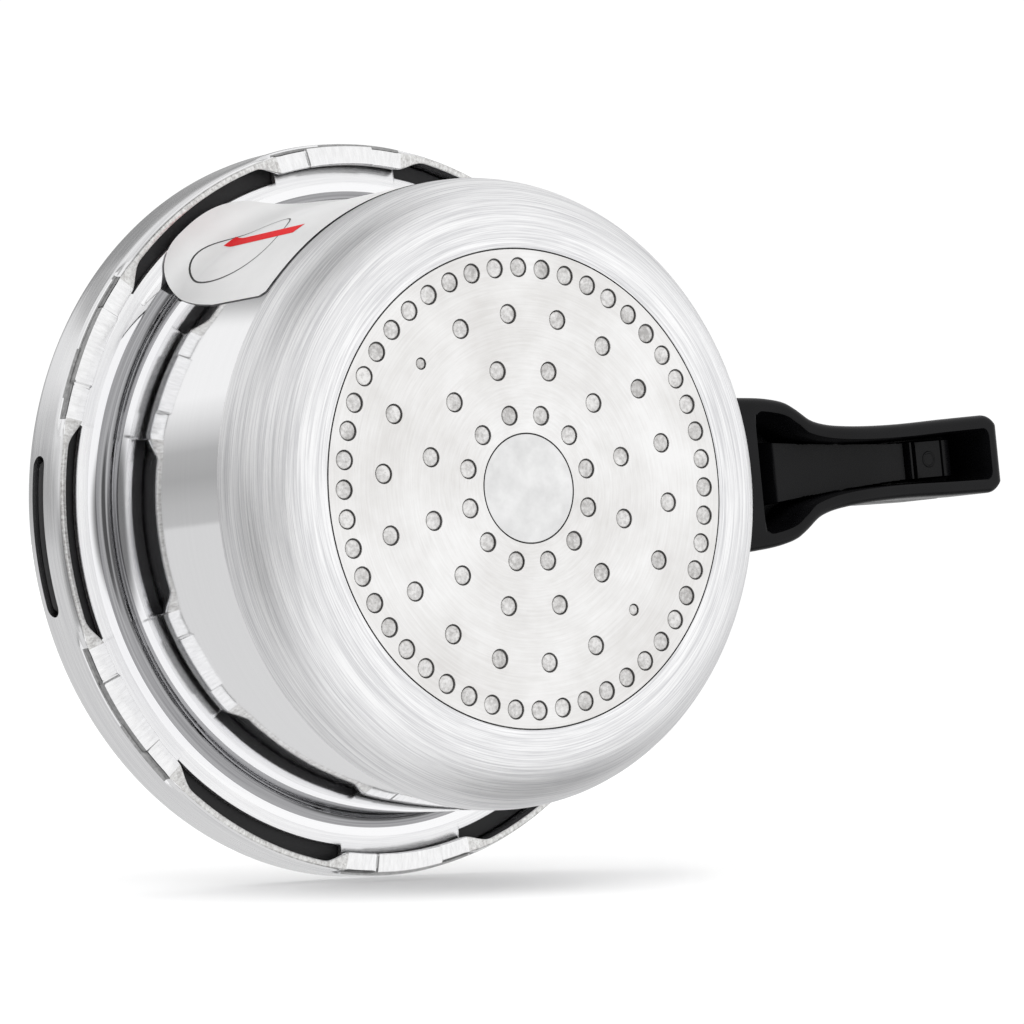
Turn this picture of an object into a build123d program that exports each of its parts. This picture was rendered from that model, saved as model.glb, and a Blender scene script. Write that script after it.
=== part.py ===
from build123d import *
import math
import os

# Outer-lid pressure pan with an induction base.
# Millimetres. The origin is the centre of the flat base, +Z runs up the pan's axis
# towards the lid, and +X runs out along the two handles.

# ---------------------------------------------------------------- driving dimensions
# pan
pan_radius = 90.0            # outside of the straight wall
pan_height = 83.1            # rim above the base
pan_wall = 3.0
pan_floor = 4.5
base_corner = 19.0           # large radius between the base and the wall
flange_width = 9.5           # how far the rim flange stands out from the wall
flange_thickness = 3.0
flange_fillet = 4.0          # inside curve under the flange

# bayonet lugs, shared by the pan and the lid
lug_count = 6
lug_phase = 30.0             # first lug's middle, measured from the handle
lug_half_angle = 12.0
lug_reach = 4.7              # how far a pan lug stands out past the flange
lug_overlap = 2.8            # how far a lid lug reaches in under a pan lug
lug_gap = 0.3                # between the pan lugs and the lid lugs below them
lug_thickness = 2.8          # lid lug
lug_bead = 0.7               # raised middle of a lid lug
lug_bead_half_angle = 6.3
lug_bead_margin = 0.8        # from the bead to the skirt's outside
lug_root = 0.5               # how far a lid lug runs into the skirt

# induction disc
disc_margin = 3.4            # flat aluminium between the disc and the base's corner
disc_thickness = 0.8
disc_window_radius = 15.7
disc_fit = 0.1               # gap round the disc in its recess
plug_radius = 2.65           # aluminium plugs that fill the disc's holes
plug_recess = 0.25           # how far a plug stops short of the disc's face
plug_fit = 0.1
locating_radius = 1.55       # two smaller holes in the second ring
ring_places = (0.902, 0.649, 0.356, 0.106)    # from the window's edge to the disc's edge
ring_counts = (48, 18, 12, 12)
ring_phases = (3.6, 8.6, 18.6, 18.6)
locating_ring = 1            # index of the ring that holds the two small holes
locating_holes = (2, 11)     # their numbers along that ring

# lid
skirt_clearance = 0.8        # between a pan lug and the lid's skirt
lid_wall = 3.0
lid_corner = 5.0
shelf_margin = 4.0           # from the pan's wall in to the shelf's inner edge
step_width = 12.0            # the lid's shoulder, in two slopes up to the plateau
step_rise = 9.0
dome_width = 14.0
dome_rise = 3.5
step_fillets = (4.0, 12.0, 25.0)
slot_length = 46.0           # gasket release slot, opposite the handles
slot_height = 6.0
slot_rise = 4.4              # its middle above the gasket's underside

# gasket
gasket_fit = 0.3
gasket_height = 9.8
gasket_width = 9.1
gasket_leg = 3.0             # thickness of the gasket's wall and of its two lips
gasket_edge = 0.6

# handles, placed along X from the pan's wall and from the grip's end
handle_length = 142.0
handle_gap = 0.8             # parting line between the two handles
handle_rise = 9.5            # parting line above the lid's lower edge
pan_grip_height = 24.5
lid_grip_height = 23.0
handle_root_half = 24.6      # half widths along the handle
handle_shoulder_half = 22.6
handle_neck_half = 13.0
handle_waist_half = 11.6
handle_end_half = 12.5
handle_shoulder_reach = 59.0
handle_neck_reach = 71.0
handle_waist_reach = 98.0
handle_wall = 4.6
handle_roof = 3.5
handle_edge = 3.0            # rounding along the upper edges
root_clearance = 0.4         # under and outside the lid as it turns
body_gap = 0.2               # between a handle and the metal it is bolted to
lid_root_margin = 1.0        # from the shelf's inner edge to the lid handle

# inside of the handles
pocket_reach = 44.0          # the hollow begins here, and the root is solid up to it
panel_reach = 55.0
panel_back = 32.0            # these are measured back from the grip's end
pad_start_back = 28.5
pad_end_back = 18.0
end_rib_back = 13.0
panel_face = 9.0             # depth of the long panel below the handle's rim
panel_gap = 1.0              # groove along the panel's sides
rib_width = 1.4
rib_rise = 2.8               # how far the cross rib stands above the panel
boss_radius = 3.4

# brackets and fasteners
bracket_thickness = 2.0
bracket_height = 8.0
bracket_half_width = 18.0
bridge_half_width = 9.0
bridge_reach = 8.0           # how far the pan bracket's bridge stands off the wall
bracket_play = 0.3
bracket_bend = 0.5           # inside radius of the lid bracket's bend
screw_radius = 2.4
screw_clearance = 0.3
screw_head_radius = 3.8
screw_head_height = 2.4
nut_width = 7.0
nut_thickness = 3.4
nut_corner = 0.5
screw_overrun = 0.4          # screw tip past its nut
pan_screw_drop = 7.3         # below the top of the pan handle's root
lid_screw_rise = 5.9         # above the lid's shelf
rivet_radius = 1.6
rivet_head_radius = 2.6
rivet_head_height = 1.5
rivet_head_taper = 0.8
rivet_seat = 0.05            # the flat heads inside the pan clear its curved wall by this
pan_rivet_offset = 13.5      # either side of the handle
lid_rivet_margin = 1.0       # from the rivet heads to the gasket
lid_rivet_spacing = 12.0
lid_foot_half_width = 10.0
lid_foot_margin = 0.4        # from the rivet heads to the foot's inner edge
lid_leg_margin = 4.0         # from the bracket's upright leg to the skirt's outside

# vent tube and weight valve
shank_clearance = 0.3        # holes in the lid round the vent tube and safety valve
vent_radius = 4.0
vent_bore = 1.3
vent_hex = 7.0               # middle to flat
vent_hex_height = 4.0
vent_rise = 20.0             # above the hexagon
vent_mouth = 3.0             # height of the tapered end
vent_lip = 0.7               # width of the tapered end's rim
vent_shank = 14.0            # below the plateau
nut_height = 5.0
washer_radius = 8.5
washer_thickness = 1.2
weight_radius = 11.5
weight_height = 21.0
weight_lift_off = 2.5        # gap between the hexagon and the weight's skirt
weight_bore_clearance = 0.4
weight_gap = 0.3             # above the vent's mouth, and round the needle inside it
weight_edge = 1.0
cap_radius = 14.0
cap_height = 14.0
cap_corner = 4.0
cap_flare = 21.0             # radius of the cap's hollow side
needle_length = 4.5
needle_depth = 1.5           # how far the needle reaches into the vent

# safety valve
safety_x = -40.0
safety_hex = 6.5
safety_hex_height = 5.0
safety_shank_radius = 4.0
safety_bore = 2.2
safety_shank = 13.0
safety_rim = 1.2
fusible_recess = 0.4

# label
label_start = 223.0
label_sweep = 76.0
label_margin = 5.0           # from the base's corner, and from the curve under the flange
label_thickness = 0.15

# ---------------------------------------------------------------- derived values
pan_inner = pan_radius - pan_wall
flange_radius = pan_radius + flange_width
flange_bottom = pan_height - flange_thickness
disc_radius = pan_radius - base_corner - disc_margin
ring_radii = [
    disc_window_radius + place * (disc_radius - disc_window_radius) for place in ring_places
]
lug_pitch = 360.0 / lug_count
pan_lug_radius = flange_radius + lug_reach
lug_inner_radius = pan_lug_radius - lug_overlap
skirt_inner = pan_lug_radius + skirt_clearance
lid_radius = skirt_inner + lid_wall
lid_lug_top = flange_bottom - lug_gap
lid_bottom = lid_lug_top - lug_thickness
lid_lowest = lid_bottom - lug_bead
gasket_bottom = pan_height + gasket_fit
gasket_top = gasket_bottom + gasket_height
gasket_outer = skirt_inner - gasket_fit
gasket_inner = gasket_outer - gasket_width
slot_middle = gasket_bottom + slot_rise
shelf_height = gasket_top + gasket_fit + lid_wall
shelf_inner = pan_radius - shelf_margin
step_inner = shelf_inner - step_width
plateau_radius = step_inner - dome_width
plateau_height = shelf_height + step_rise + dome_rise
lid_underside = plateau_height - lid_wall
grip_top = lid_bottom + handle_rise
grip_bottom = grip_top - pan_grip_height
lid_grip_bottom = grip_top + handle_gap
lid_grip_top = lid_grip_bottom + lid_grip_height
root_top = lid_lowest - root_clearance
lid_sweep_radius = lid_radius + root_clearance
lid_root_radius = shelf_inner + lid_root_margin
grip_end = pan_radius + handle_length
pocket_start = pan_radius + pocket_reach
panel_start = pan_radius + panel_reach
panel_end = grip_end - panel_back
pad_start = grip_end - pad_start_back
pad_end = grip_end - pad_end_back
bridge_x = pan_radius + bridge_reach
pan_nut_face = bridge_x - bracket_thickness
pan_screw_height = root_top - pan_screw_drop
lid_leg_x = lid_radius - lid_leg_margin
lid_nut_face = lid_leg_x - bracket_thickness
lid_screw_height = shelf_height + lid_screw_rise
lid_rivet_x = gasket_inner - lid_rivet_margin - rivet_head_radius
lid_bracket_start = lid_rivet_x - rivet_head_radius - lid_foot_margin
vent_top = plateau_height + vent_hex_height + vent_rise
weight_bottom = plateau_height + vent_hex_height + weight_lift_off
weight_top = weight_bottom + weight_height
pan_rivet_angle = math.degrees(math.asin(pan_rivet_offset / pan_radius))
pan_rivet_planes = [
    Plane(
        origin=Vector(pan_radius, 0, pan_screw_height).rotate(Axis.Z, angle),
        z_dir=Vector(1, 0, 0).rotate(Axis.Z, angle),
    )
    for angle in (-pan_rivet_angle, pan_rivet_angle)
]
lid_rivet_planes = [
    Plane((lid_rivet_x, side * lid_rivet_spacing / 2, shelf_height)) for side in (-1, 1)
]

os.makedirs("parts", exist_ok=True)


def save(piece, name):
    piece.part.label = name
    export_step(piece.part, f"parts/{name}.step")


def radial_plane(angle):
    """The XZ plane turned about the pan's axis, with its x direction pointing outwards."""
    return Plane.XZ.rotated((0, 0, angle))


def ring_profile(inner, outer, low, high, mode=Mode.ADD):
    """A rectangle in the current radial sketch, from inner to outer and from low to high."""
    with Locations(((inner + outer) / 2, (low + high) / 2)):
        Rectangle(outer - inner, high - low, mode=mode)


def parallel(points, distance):
    """The corners of a polyline moved sideways, to the right of its direction, by distance."""
    moved = []
    for number, (x, y) in enumerate(points):
        normals = []
        for start, end in ((number - 1, number), (number, number + 1)):
            if start >= 0 and end < len(points):
                run = points[end][0] - points[start][0]
                rise = points[end][1] - points[start][1]
                length = math.hypot(run, rise)
                normals.append((rise / length, -run / length))
        across = [sum(values) for values in zip(*normals)]
        scale = distance * len(normals) / (across[0] ** 2 + across[1] ** 2)
        moved.append((x + scale * across[0], y + scale * across[1]))
    return moved


def add_lugs(inner, outer, low, high, half_angle, mode=Mode.ADD):
    """Adds one arc-shaped block to the current part at each bayonet lug."""
    for number in range(lug_count):
        middle = lug_phase + number * lug_pitch
        with BuildSketch(radial_plane(middle - half_angle)) as profile:
            ring_profile(inner, outer, low, high)
        revolve(profile.sketch, axis=Axis.Z, revolution_arc=2 * half_angle, mode=mode)


def plug_angles(ring):
    """Angles of one ring's ordinary holes, and of its small locating holes."""
    step = 360.0 / ring_counts[ring]
    angles = [ring_phases[ring] + step * number for number in range(ring_counts[ring])]
    if ring != locating_ring:
        return angles, []
    small = [angles[number] for number in locating_holes]
    return [angle for angle in angles if angle not in small], small


def disc_circles(plug_r, locating_r):
    """Circles for every hole of the induction disc, in the current sketch."""
    for ring, radius in enumerate(ring_radii):
        angles, small = plug_angles(ring)
        with Locations([Vector(radius, 0).rotate(Axis.Z, angle) for angle in angles]):
            Circle(plug_r)
        if small:
            with Locations([Vector(radius, 0).rotate(Axis.Z, angle) for angle in small]):
                Circle(locating_r)


# ---------------------------------------------------------------- pan body
inner_corner = base_corner - pan_wall
with BuildPart() as pan_body:
    with BuildSketch(Plane.XZ) as pan_section:
        with BuildLine():
            outer = FilletPolyline(
                (0, 0),
                (pan_radius, 0),
                (pan_radius, flange_bottom),
                (flange_radius, flange_bottom),
                radius=[base_corner, flange_fillet],
            )
            inner = FilletPolyline(
                (0, pan_floor),
                (pan_inner, pan_floor),
                (pan_inner, pan_height),
                (flange_radius, pan_height),
                radius=[inner_corner, pan_wall],
            )
            Line(outer @ 1, inner @ 1)
            Line(inner @ 0, outer @ 0)
        make_face()
    revolve(axis=Axis.Z)
    with BuildSketch(Plane.XY):
        Circle(disc_radius + disc_fit)
        Circle(disc_window_radius - disc_fit, mode=Mode.SUBTRACT)
    extrude(amount=disc_thickness, mode=Mode.SUBTRACT)
    with BuildSketch(Plane.XY.offset(plug_recess)):
        disc_circles(plug_radius, locating_radius)
    extrude(amount=disc_thickness - plug_recess)
    add_lugs(flange_radius - pan_wall, pan_lug_radius, flange_bottom, pan_height, lug_half_angle)
    with Locations(*pan_rivet_planes):
        Cylinder(rivet_radius, 3 * pan_wall, mode=Mode.SUBTRACT)
save(pan_body, "pan_body")

# ---------------------------------------------------------------- induction disc
with BuildPart() as base_disc:
    with BuildSketch(Plane.XY):
        Circle(disc_radius)
        Circle(disc_window_radius, mode=Mode.SUBTRACT)
    extrude(amount=disc_thickness)
    with BuildSketch(Plane.XY):
        disc_circles(plug_radius + plug_fit, locating_radius + plug_fit)
    extrude(amount=disc_thickness, mode=Mode.SUBTRACT)
save(base_disc, "base_disc")

# ---------------------------------------------------------------- label on the wall
with BuildPart() as body_label:
    with BuildSketch(radial_plane(label_start)):
        ring_profile(pan_radius, pan_radius + label_thickness, base_corner + label_margin,
                     flange_bottom - flange_fillet - label_margin)
    revolve(axis=Axis.Z, revolution_arc=label_sweep)
save(body_label, "body_label")

# ---------------------------------------------------------------- lid
lid_points = [
    (lid_radius, lid_bottom),
    (lid_radius, shelf_height),
    (shelf_inner, shelf_height),
    (step_inner, shelf_height + step_rise),
    (plateau_radius, plateau_height),
    (0, plateau_height),
]
lid_inner_points = parallel(lid_points, -lid_wall)
lid_inner_fillets = [
    lid_corner - lid_wall,
    step_fillets[0] + lid_wall,
    step_fillets[1] - lid_wall,
    step_fillets[2] - lid_wall,
]
with BuildPart() as lid:
    with BuildSketch(Plane.XZ):
        with BuildLine():
            outer = FilletPolyline(*lid_points, radius=[lid_corner, *step_fillets])
            inner = FilletPolyline(*lid_inner_points, radius=lid_inner_fillets)
            Line(outer @ 0, inner @ 0)
            Line(inner @ 1, outer @ 1)
        make_face()
    revolve(axis=Axis.Z)
    add_lugs(lug_inner_radius, skirt_inner + lug_root, lid_bottom, lid_lug_top, lug_half_angle)
    add_lugs(lug_inner_radius, lid_radius - lug_bead_margin, lid_lowest, lid_bottom, lug_bead_half_angle)
    slot_start = -lid_radius - 1.0
    slot_depth = -slot_start - math.sqrt(skirt_inner ** 2 - (slot_length / 2) ** 2) + 0.2
    with BuildSketch(Plane(origin=(slot_start, 0, slot_middle), x_dir=(0, 1, 0), z_dir=(1, 0, 0))):
        SlotOverall(slot_length, slot_height)
    extrude(amount=slot_depth, mode=Mode.SUBTRACT)
    with Locations((0, 0, plateau_height)):
        Cylinder(vent_radius + shank_clearance, 3 * lid_wall, mode=Mode.SUBTRACT)
    with Locations((safety_x, 0, plateau_height)):
        Cylinder(safety_shank_radius + shank_clearance, 3 * lid_wall, mode=Mode.SUBTRACT)
    with Locations(*lid_rivet_planes):
        Cylinder(rivet_radius, 3 * lid_wall, mode=Mode.SUBTRACT)
save(lid, "lid")

# ---------------------------------------------------------------- gasket
with BuildPart() as gasket:
    with BuildSketch(Plane.XZ):
        ring_profile(gasket_inner, gasket_outer, gasket_bottom, gasket_top)
        ring_profile(gasket_inner, gasket_outer - gasket_leg,
                     gasket_bottom + gasket_leg, gasket_top - gasket_leg, Mode.SUBTRACT)
    revolve(axis=Axis.Z)
    rings = gasket.edges().filter_by(GeomType.CIRCLE).sort_by(lambda edge: edge.radius)
    fillet(rings[-2:], radius=lid_corner - lid_wall + gasket_fit)
    fillet(rings[:-2], radius=gasket_edge)
save(gasket, "gasket")


# ---------------------------------------------------------------- brackets and rivets
def rivet(plane, inner, outer):
    """A headed rivet along the plane's normal, gripping from inner to outer."""
    with Locations(plane.offset(inner)):
        Cylinder(rivet_radius, outer - inner, align=(Align.CENTER, Align.CENTER, Align.MIN))
        Cone(rivet_head_radius - rivet_head_taper, rivet_head_radius, rivet_head_height,
             align=(Align.CENTER, Align.CENTER, Align.MAX))
    with Locations(plane.offset(outer)):
        Cone(rivet_head_radius, rivet_head_radius - rivet_head_taper, rivet_head_height,
             align=(Align.CENTER, Align.CENTER, Align.MIN))


def screw_bore(start_x, height, radius, length):
    """Cuts a hole along X through the current part."""
    with Locations(Plane(origin=(start_x, 0, height), z_dir=(1, 0, 0))):
        Cylinder(radius, length, align=(Align.CENTER, Align.CENTER, Align.MIN), mode=Mode.SUBTRACT)


with BuildPart() as pan_bracket:
    with BuildSketch(Plane.XY.offset(pan_screw_height - bracket_height / 2)):
        Circle(pan_radius + bracket_thickness)
        with Locations((pan_radius, 0)):
            Rectangle(pan_radius, 2 * bracket_half_width, mode=Mode.INTERSECT)
        with Locations((bridge_x, 0)):
            Rectangle(bridge_reach, 2 * bridge_half_width, align=(Align.MAX, Align.CENTER))
        with Locations((bridge_x - bracket_thickness, 0)):
            Rectangle(2 * bridge_reach, 2 * (bridge_half_width - bracket_thickness),
                      align=(Align.MAX, Align.CENTER), mode=Mode.SUBTRACT)
        Circle(pan_radius, mode=Mode.SUBTRACT)
    extrude(amount=bracket_height)
    screw_bore(pan_radius, pan_screw_height, screw_radius + screw_clearance, 2 * bridge_reach)
    with Locations(*pan_rivet_planes):
        Cylinder(rivet_radius, 3 * pan_wall, mode=Mode.SUBTRACT)
save(pan_bracket, "pan_bracket")

with BuildPart() as pan_rivets:
    for plane in pan_rivet_planes:
        rivet(plane, -pan_wall - rivet_seat, bracket_thickness + rivet_seat)
save(pan_rivets, "pan_rivets")

with BuildPart() as lid_bracket:
    with BuildSketch(Plane.XZ):
        with BuildLine():
            FilletPolyline(
                (lid_bracket_start, shelf_height),
                (lid_leg_x, shelf_height),
                (lid_leg_x, lid_screw_height + bracket_height / 2),
                radius=bracket_thickness + bracket_bend,
            )
            Line((lid_leg_x, lid_screw_height + bracket_height / 2),
                 (lid_nut_face, lid_screw_height + bracket_height / 2))
            FilletPolyline(
                (lid_nut_face, lid_screw_height + bracket_height / 2),
                (lid_nut_face, shelf_height + bracket_thickness),
                (lid_bracket_start, shelf_height + bracket_thickness),
                radius=bracket_bend,
            )
            Line((lid_bracket_start, shelf_height + bracket_thickness),
                 (lid_bracket_start, shelf_height))
        make_face()
    extrude(amount=lid_foot_half_width, both=True)
    screw_bore(lid_nut_face - 1, lid_screw_height, screw_radius + screw_clearance,
               2 * bracket_thickness)
    with Locations(*lid_rivet_planes):
        Cylinder(rivet_radius, 3 * lid_wall, mode=Mode.SUBTRACT)
save(lid_bracket, "lid_bracket")

with BuildPart() as lid_rivets:
    for plane in lid_rivet_planes:
        rivet(plane, -lid_wall, bracket_thickness)
save(lid_rivets, "lid_rivets")


# ---------------------------------------------------------------- handles
def handle_outline(inset):
    """The closed outline of a handle on the current plane, drawn in by inset all round."""
    side = [
        (pan_radius - 3 * handle_wall + inset, handle_root_half - inset),
        (pan_radius + handle_shoulder_reach - 0.5 * inset, handle_shoulder_half - inset),
        (pan_radius + handle_neck_reach - 0.4 * inset, handle_neck_half - inset),
        (pan_radius + handle_waist_reach, handle_waist_half - inset),
        (grip_end - inset, handle_end_half - inset),
    ]
    radii = [1.0, 9.0 - inset, 10.0 + inset, 120.0, 5.5 - 0.6 * inset]
    mirrored = [(x, -y) for x, y in reversed(side)]
    with BuildLine() as outline:
        FilletPolyline(*side, *mirrored, radius=radii + radii[::-1], close=True)
    make_face(outline.edges())


def inside_stretch(start, end):
    """Keeps only the stretch of the current sketch from start to end along the handle."""
    with Locations(((start + end) / 2, 0)):
        Rectangle(end - start, 4 * handle_root_half, mode=Mode.INTERSECT)


def handle_block(bottom, top):
    """The outside of a handle with its rims rounded, added to the current part."""
    with BuildSketch(Plane.XY.offset(bottom)) as outline:
        handle_outline(0)
    block = extrude(outline.sketch, amount=top - bottom)
    fillet(block.faces().sort_by(Axis.Z)[-1].edges(), radius=handle_edge)


def hollow(bottom, top):
    """Cuts the hollow, leaving a long panel, a cross rib, a pad with a boss and an end rib."""
    ceiling = top - handle_roof
    face = bottom + panel_face
    with BuildPart(mode=Mode.PRIVATE) as pocket:
        with BuildSketch(Plane.XY.offset(bottom)) as whole:
            handle_outline(handle_wall)
            inside_stretch(pocket_start, 2 * grip_end)
        extrude(whole.sketch, amount=ceiling - bottom)
        with BuildSketch(Plane.XY.offset(face)) as panel:
            handle_outline(handle_wall + panel_gap)
            with Locations(((panel_start + panel_end) / 2, 0)):
                Rectangle(panel_end - panel_start, 1.7 * handle_waist_half, mode=Mode.INTERSECT)
        extrude(panel.sketch, amount=ceiling - face, mode=Mode.SUBTRACT)
        with BuildSketch(Plane.XY.offset(face - rib_rise)) as rib:
            with Locations((panel_end, 0)):
                Rectangle(rib_width, 2 * handle_end_half)
        extrude(rib.sketch, amount=ceiling - face + rib_rise, mode=Mode.SUBTRACT)
        with BuildSketch(Plane.XY.offset(face - rib_rise / 2)) as pad:
            with Locations(((pad_start + pad_end) / 2, 0)):
                Rectangle(pad_end - pad_start, 2 * handle_end_half)
                Circle(boss_radius, mode=Mode.SUBTRACT)
        extrude(pad.sketch, amount=ceiling - face + rib_rise / 2, mode=Mode.SUBTRACT)
        with BuildSketch(Plane.XY.offset(face - rib_rise)) as end_rib:
            with Locations((grip_end - end_rib_back, 0)):
                Rectangle(rib_width, 2 * handle_end_half)
        extrude(end_rib.sketch, amount=ceiling - face + rib_rise, mode=Mode.SUBTRACT)
    return pocket.part


recess_height = bracket_height + 2 * bracket_play
tab_recess_x = pan_radius + bracket_thickness + rivet_head_height + bracket_play
pan_hollow = hollow(grip_bottom, grip_top)
with BuildPart() as pan_handle:
    handle_block(grip_bottom, grip_top)
    add(pan_hollow, mode=Mode.SUBTRACT)
    with Locations((0, 0, root_top)):
        Cylinder(lid_sweep_radius, grip_top, align=(Align.CENTER, Align.CENTER, Align.MIN),
                 mode=Mode.SUBTRACT)
    Cylinder(pan_radius + body_gap, 3 * grip_top, mode=Mode.SUBTRACT)
    with Locations((bridge_x + bracket_play, 0, pan_screw_height)):
        Box(2 * bridge_reach, 2 * (bridge_half_width + bracket_play), recess_height,
            align=(Align.MAX, Align.CENTER, Align.CENTER), mode=Mode.SUBTRACT)
    with Locations((tab_recess_x, 0, pan_screw_height)):
        Box(2 * bridge_reach, 2 * (bracket_half_width + bracket_play), recess_height,
            align=(Align.MAX, Align.CENTER, Align.CENTER), mode=Mode.SUBTRACT)
    screw_bore(pan_radius, pan_screw_height, screw_radius + screw_clearance, pocket_start)
save(pan_handle, "pan_handle")

lid_hollow = hollow(lid_grip_bottom, lid_grip_top)
leg_recess_x = lid_leg_x + bracket_play
with BuildPart() as lid_handle:
    handle_block(lid_grip_bottom, lid_grip_top)
    add(lid_hollow, mode=Mode.SUBTRACT)
    Cylinder(lid_radius + body_gap, 2 * (shelf_height + body_gap), mode=Mode.SUBTRACT)
    Cylinder(lid_root_radius, 3 * lid_grip_top, mode=Mode.SUBTRACT)
    with Locations((leg_recess_x, 0, lid_grip_top - handle_roof)):
        Box(leg_recess_x - lid_bracket_start + bracket_play,
            2 * (lid_foot_half_width + bracket_play),
            lid_grip_top - handle_roof - shelf_height,
            align=(Align.MAX, Align.CENTER, Align.MAX), mode=Mode.SUBTRACT)
    screw_bore(lid_nut_face, lid_screw_height, screw_radius + screw_clearance, pocket_start)
save(lid_handle, "lid_handle")


def handle_screw(height, tip_x):
    """A slotted screw along X, its head in the handle's hollow and its tip past the nut."""
    with BuildPart() as screw:
        with Locations(Plane(origin=(pocket_start, 0, height), z_dir=(1, 0, 0))):
            Cylinder(screw_head_radius, screw_head_height,
                     align=(Align.CENTER, Align.CENTER, Align.MIN))
            Cylinder(screw_radius, pocket_start - tip_x,
                     align=(Align.CENTER, Align.CENTER, Align.MAX))
        fillet(screw.faces().sort_by(Axis.X)[-1].edges(), radius=screw_head_height / 2)
        with Locations((pocket_start + screw_head_height, 0, height)):
            Box(screw_head_height, 3 * screw_head_radius, screw_radius / 2, mode=Mode.SUBTRACT)
    return screw


def square_nut(height, face_x):
    """A square nut behind a bracket, with its outer face at face_x."""
    with BuildPart() as nut:
        with Locations((face_x, 0, height)):
            Box(nut_thickness, nut_width, nut_width, align=(Align.MAX, Align.CENTER, Align.CENTER))
        chamfer(nut.edges().filter_by(Axis.X), length=nut_corner)
        screw_bore(face_x - 2 * nut_thickness, height, screw_radius, 4 * nut_thickness)
    return nut


screw_tip = nut_thickness + screw_overrun
save(handle_screw(pan_screw_height, pan_nut_face - screw_tip), "pan_handle_screw")
save(handle_screw(lid_screw_height, lid_nut_face - screw_tip), "lid_handle_screw")
save(square_nut(pan_screw_height, pan_nut_face), "pan_handle_nut")
save(square_nut(lid_screw_height, lid_nut_face), "lid_handle_nut")


# ---------------------------------------------------------------- vent tube and safety valve
def lock_nut(place_x, half_width, bore):
    """A hexagonal nut under the lid's plateau, below its washer."""
    with BuildPart() as nut:
        with BuildSketch(Plane((place_x, 0, lid_underside - washer_thickness - nut_height))):
            RegularPolygon(half_width, 6, major_radius=False)
            Circle(bore, mode=Mode.SUBTRACT)
        extrude(amount=nut_height)
    return nut


def seal_washer(place_x, bore):
    """A flat ring against the underside of the lid's plateau."""
    with BuildPart() as ring:
        with BuildSketch(Plane((place_x, 0, lid_underside - washer_thickness))):
            Circle(washer_radius)
            Circle(bore, mode=Mode.SUBTRACT)
        extrude(amount=washer_thickness)
    return ring


with BuildPart() as vent_tube:
    with BuildSketch(Plane.XZ):
        with BuildLine():
            Polyline(
                (vent_bore, plateau_height - vent_shank),
                (vent_radius, plateau_height - vent_shank),
                (vent_radius, vent_top - vent_mouth),
                (vent_bore + vent_lip, vent_top),
                (vent_bore, vent_top),
                close=True,
            )
        make_face()
    revolve(axis=Axis.Z)
    with BuildSketch(Plane.XY.offset(plateau_height)):
        RegularPolygon(vent_hex, 6, major_radius=False)
        Circle(vent_radius, mode=Mode.SUBTRACT)
    extrude(amount=vent_hex_height)
save(vent_tube, "vent_tube")
save(seal_washer(0, vent_radius), "vent_washer")
save(lock_nut(0, vent_hex, vent_radius), "vent_nut")

with BuildPart() as safety_valve:
    with BuildSketch(Plane((safety_x, 0, plateau_height))):
        RegularPolygon(safety_hex, 6, major_radius=False)
    extrude(amount=safety_hex_height)
    chamfer(safety_valve.edges().group_by(Axis.Z)[-1], length=0.6)
    with Locations((safety_x, 0, plateau_height + safety_hex_height)):
        Cylinder(safety_shank_radius, safety_rim, align=(Align.CENTER, Align.CENTER, Align.MIN))
        Cylinder(safety_shank_radius, safety_hex_height + safety_shank,
                 align=(Align.CENTER, Align.CENTER, Align.MAX))
        Cylinder(safety_bore, 4 * safety_shank, mode=Mode.SUBTRACT)
save(safety_valve, "safety_valve")

with BuildPart() as fusible_plug:
    with Locations((safety_x, 0, plateau_height + safety_hex_height + safety_rim - fusible_recess)):
        Cylinder(safety_bore, safety_hex_height + safety_shank,
                 align=(Align.CENTER, Align.CENTER, Align.MAX))
save(fusible_plug, "fusible_plug")
save(seal_washer(safety_x, safety_shank_radius), "safety_washer")
save(lock_nut(safety_x, safety_hex, safety_shank_radius), "safety_nut")

# ---------------------------------------------------------------- weight valve
weight_bore = vent_radius + weight_bore_clearance
bore_top = vent_top + weight_gap
needle_radius = vent_bore - weight_gap
needle_bottom = vent_top - needle_depth
with BuildPart() as weight_body:
    with BuildSketch(Plane.XZ):
        ring_profile(0, weight_radius, weight_bottom, weight_top)
        ring_profile(0, weight_bore, weight_bottom, bore_top, Mode.SUBTRACT)
        ring_profile(0, needle_radius, bore_top, needle_bottom + needle_length, Mode.SUBTRACT)
    revolve(axis=Axis.Z)
    chamfer(weight_body.edges().filter_by(GeomType.CIRCLE).group_by(Axis.Z)[0].sort_by(
        lambda edge: edge.radius)[-1], length=weight_edge)
save(weight_body, "weight_body")

with BuildPart() as weight_needle:
    with Locations((0, 0, needle_bottom)):
        Cylinder(needle_radius, needle_length, align=(Align.CENTER, Align.CENTER, Align.MIN))
    chamfer(weight_needle.faces().sort_by(Axis.Z)[0].edges(), length=0.5 * needle_radius)
save(weight_needle, "weight_needle")

cap_top = weight_top + cap_height
with BuildPart() as weight_cap:
    with BuildSketch(Plane.XZ):
        with BuildLine():
            Line((0, weight_top), (weight_radius, weight_top))
            RadiusArc((weight_radius, weight_top), (cap_radius, cap_top - cap_corner), -cap_flare)
            RadiusArc((cap_radius, cap_top - cap_corner), (cap_radius - cap_corner, cap_top),
                      -cap_corner)
            Line((cap_radius - cap_corner, cap_top), (0, cap_top))
            Line((0, cap_top), (0, weight_top))
        make_face()
    revolve(axis=Axis.Z)
save(weight_cap, "weight_cap")
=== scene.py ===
import math

import bmesh
import bpy
from mathutils import Matrix, Vector


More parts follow.
